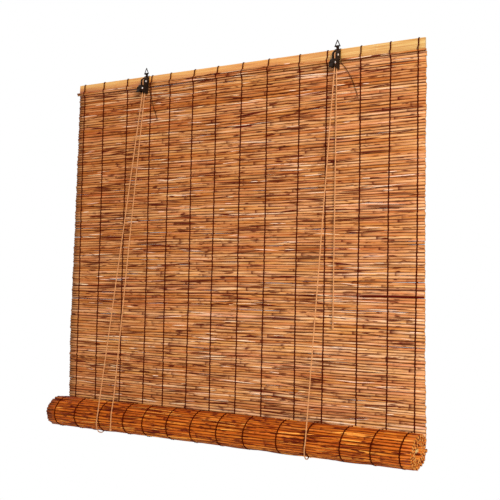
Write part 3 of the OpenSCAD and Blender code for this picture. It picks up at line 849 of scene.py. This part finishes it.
def makeRoll():
    rng = np.random.default_rng(rollForm["seed"] + 1)
    rollLow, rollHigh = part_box("reed_roll")
    stems = []
    for angle, radius in zip(*rollStems()):
        r = spiralRadius(angle) + rng.uniform(*rollForm["uneven"]) * mm
        ends = rng.uniform(-1, 1, 2) * rollForm["endJitter"] + rollSlip(angle)
        outer = angle < 2 * math.pi
        stems += reedStem(rng, rollLow.x + ends[0], rollHigh.x + ends[1], rollY + r * math.cos(angle),
                          rollZ - r * math.sin(angle), radius, -angle,
                          reedForm["step"] if outer else rollForm["innerStep"], rollForm["bend"],
                          slivers=sliverForm["perStem"] if outer else 0)
    roll = reedPiece("rolledReeds", stems, rolledSkin)
    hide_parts("reed_roll")
    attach(roll, "roll")


makeMat()
makeRoll()
print("reeds woven")


threadForm = {
    "shares": (-0.477, -0.408, -0.327, -0.248, -0.187, -0.114, -0.044,    # of the mat's width
               0.03, 0.103, 0.19, 0.262, 0.346, 0.417, 0.482),
    "leans": (0, 0, 0, 2.5, 2, 4, 4, 3.5, 3, 0, 0, 0, 0, 0),              # over the slat, in mm
    "radius": 1.6 * mm,
    "proud": 0.45 * mm,      # of the stems
    "proudOfRoll": 0.3 * mm,
    "proudOfSlat": 0.5 * mm,
    "overTop": 0.6 * mm,
    "corner": 1 * mm,
    "fall": (-34.5 * mm, -39.5 * mm, -45.5 * mm, -50 * mm),    # heights down the slat's face
    "dip": 1.3 * mm,         # between two stems
    "sway": 0.3 * mm,        # the two strands cross between stems
    "wander": (0.8 * mm, 9, 50),    # each in its own waves of about 0.7 m: radians a metre in z and x
    "roundRoll": 5.8,        # radians
    "stop": 2,               # rows left bare above the roll
    "perRow": 4,
    "sides": 6,
    "step": 1.5 * mm,
}


def easedStrand(peaks, dips):
    # a line that rises over each peak and falls into each dip between two peaks
    knots = np.empty((len(peaks) + len(dips), 3))
    knots[0::2] = peaks
    knots[1::2] = dips
    knots[0::2, 0] += threadForm["sway"] * np.where(np.arange(len(peaks)) % 2, 1, -1)
    half = threadForm["perRow"] // 2
    s = np.arange((len(knots) - 1) * half + 1) / half
    k = np.minimum(s.astype(int), len(knots) - 2)
    t = (1 - np.cos(math.pi * (s - k))) / 2
    return knots[k] + (knots[k + 1] - knots[k]) * t[:, None]


def wovenStrand(x, first, last, face):
    # over each stem of the rows and in between each two, on one face of the mat
    z, r = rowHeights[first:last], rowRadii[first:last]
    wander, inZ, inX = threadForm["wander"]
    across = x + wander * np.sin(z * inZ + x * inX)
    peaks = np.stack([across, matY + face * (r + threadForm["proud"]), z + matWave(x, z)], axis=1)
    dips = (peaks[:-1] + peaks[1:]) / 2 - np.array((0, face * threadForm["dip"], 0))
    return easedStrand(peaks, dips)


def overSlat(x, lean):
    # up behind the slat, over its top, down its face and out over the head stems
    front, back = railLow.y - threadForm["proudOfSlat"], railHigh.y + threadForm["proudOfSlat"]
    out = railLow.y - headForm["front"]
    top, corner = railHigh.z + threadForm["overTop"], threadForm["corner"]
    leant, half = x + lean * mm, x + lean * mm / 2
    fall = threadForm["fall"]
    route = [(x, back, railLow.z), (leant, back, top - corner), (leant, back - corner, top),
             (leant, front + corner, top), (leant, front, top - corner), (half, front, fall[0]),
             (x, out, fall[1]), (x, out, fall[2]), (x, front, fall[3])]
    return resample(route, threadForm["step"])


def onRoll(x, angles, reach):
    across = x + rollSlip(angles)
    return np.stack([across, rollY + reach * np.cos(angles), rollZ - reach * np.sin(angles)], axis=1)


def rollStrand(x, angles, radii):
    reach = spiralRadius(angles) + radii + threadForm["proudOfRoll"]
    middle = (angles[:-1] + angles[1:]) / 2
    between = (reach[:-1] + reach[1:]) / 2 - threadForm["dip"]
    return easedStrand(onRoll(x, angles, reach), onRoll(x, middle, between))


def threadTube(path):
    return laidTube(path, threadForm["radius"], threadForm["sides"])


def makeThreads():
    upper, lower, rolled = [], [], []
    width = matHigh.x - matLow.x
    split, rows = matForm["splitRow"], matForm["rows"]
    angles, radii = (np.array(v) for v in rollStems())
    outer = angles < threadForm["roundRoll"]
    for share, lean in zip(threadForm["shares"], threadForm["leans"]):
        x = share * width
        back, front = wovenStrand(x, 1, split + 1, 1), wovenStrand(x, 1, split + 1, -1)
        upper.append(threadTube(np.concatenate([back[::-1], overSlat(x, lean), front])))
        lower.append(threadTube(wovenStrand(x, split, rows - threadForm["stop"], -1)))
        lower.append(threadTube(wovenStrand(x, split, rows, 1)))
        rolled.append(threadTube(rollStrand(x, angles[outer], radii[outer])))
    piece = makePiece("upperThreads", upper, threadYarn)
    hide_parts("warp_threads")
    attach(piece, "blind")
    piece = makePiece("lowerThreads", lower, threadYarn)
    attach(piece, "blind")
    windIn(piece)
    piece = makePiece("rollThreads", rolled, threadYarn)
    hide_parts("roll_threads")
    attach(piece, "roll")


makeThreads()
print("threads woven")


lashForm = {
    "across": 7 * mm,
    "clear": 0.8 * mm,
    "bedded": 0.6 * mm,      # drawn into the slat's faces
    "slant": 1.2 * mm,
    "strapHalf": 4 * mm,
    "strapY": -0.35 * mm,
    "strapZ": -18.7 * mm,
    "sides": 9,
    "step": 1 * mm,
}


def lashTube(route):
    return laidTube(resample(route, lashForm["step"]), tieTwine["radius"], lashForm["sides"],
                    cordForm["strands"], cordForm["strandDepth"], tieTwine["lay"])


def makeLashing(hand, x):
    front = railLow.y - lashForm["clear"] + lashForm["bedded"]
    back = railHigh.y + lashForm["clear"] - lashForm["bedded"]
    top, low = railHigh.z + lashForm["clear"], railLow.z - lashForm["clear"]
    across, half = lashForm["across"], lashForm["strapHalf"]
    strapY, strapZ = lashForm["strapY"], lashForm["strapZ"]
    parts = []
    for side in (-1, 1):
        at = x + side * across
        aslant = at + lashForm["slant"]
        parts.append(lashTube([(at, front, top), (at, back, top), (aslant, back, low), (aslant, front, low),
                               (at, front, top)]))
    parts.append(lashTube([(x - across, front, strapZ), (x - half, strapY, strapZ),
                           (x + half, strapY, strapZ), (x + across, front, strapZ)]))
    piece = makePiece(hand + "TieLashing", parts, tieTwine["yarn"])
    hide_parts(hand + "_tie_lashing")
    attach(piece, "blind")


for hand, x in hangerX.items():
    makeLashing(hand, x)
print("lashings tied")


nodeFinish = {
    "headrail": caneSkin,
    "bottom_batten": caneSkin,
    "hanging_ring": ringSteel,
    "lock_housing": lockLacquer,
    "pulley": lockLacquer,
    "lock_cam": lockLacquer,
    "pulley_pin": rivetSteel,
    "cam_pin": rivetSteel,
}
for nodeName, node in frame["nodes"].items():
    plain = nodeName.removeprefix("left_").removeprefix("right_")
    if plain in nodeFinish:
        node.data.materials.clear()
        node.data.materials.append(nodeFinish[plain])
print("CAD nodes finished")


stageForm = {
    "floorZ": -1.75,
    "floorSize": 2.6,
    "skyLevel": 0.34,
    "lampsAimAt": (0, 0, -0.45),
}
lamps = {
    "keyLamp": {"place": (2.6, -2.9, 0.35), "size": 1.6, "watts": 197},
    "fillLamp": {"place": (-1.4, -2.8, 0.8), "size": 2.0, "watts": 15},
}


def makeFloor():
    # Painted board, rolled: matt, with a faint cloud of about 170 mm
    half = stageForm["floorSize"] / 2
    mesh = bpy.data.meshes.new("paleFloor")
    corners = [(-half, -half, 0), (half, -half, 0), (half, half, 0), (-half, half, 0)]
    mesh.from_pydata(corners, [], [(0, 1, 2, 3)])
    floor = bpy.data.objects.new("paleFloor", mesh)
    floor.location = (0, 0, stageForm["floorZ"])
    material, tree, shader = newMaterial("palePaintedFloor", **{"Roughness": 0.8})
    place = addNode(tree, "TexCoord").outputs["Object"]
    cloud = addNode(tree, "TexNoise", {"Vector": place, "Scale": 6, "Detail": 3}).outputs["Fac"]
    base = addNode(tree, "ValToRGB", {0: cloud}, stops=[(0.3, "#eeeeec"), (0.7, "#f6f6f4")]).outputs[0]
    tree.links.new(base, shader.inputs["Base Color"])
    mesh.materials.append(material)
    bpy.context.scene.collection.objects.link(floor)


def makeSky():
    # white to the eye and in reflections, and a plain level of light on the blind
    world = bpy.data.worlds.new("studioSky")
    bpy.context.scene.world = world
    world.use_nodes = True
    tree = world.node_tree
    tree.nodes.clear()
    path = addNode(tree, "LightPath").outputs
    seen = addNode(tree, "Math", {0: path["Is Camera Ray"], 1: path["Is Glossy Ray"]},
                   operation="MAXIMUM").outputs[0]
    seen = addNode(tree, "Math", {0: seen, 1: path["Is Transmission Ray"]}, operation="MAXIMUM").outputs[0]
    level = addNode(tree, "MapRange", {"Value": seen, "To Min": stageForm["skyLevel"],
                                       "To Max": 1.0}).outputs[0]
    sky = addNode(tree, "Background", {"Color": (1, 1, 1, 1), "Strength": level})
    addNode(tree, "OutputWorld", {"Surface": sky.outputs[0]})


def makeLamps():
    target = Vector(stageForm["lampsAimAt"])
    for name, lamp in lamps.items():
        data = bpy.data.lights.new(name, "AREA")
        data.shape = "DISK"
        data.size = lamp["size"]
        data.energy = lamp["watts"]
        light = bpy.data.objects.new(name, data)
        light.location = lamp["place"]
        light.rotation_euler = (target - light.location).to_track_quat("-Z", "Y").to_euler()
        bpy.context.scene.collection.objects.link(light)


makeFloor()
makeSky()
makeLamps()
bpy.context.scene.view_settings.view_transform = "Standard"
print("stage lit")
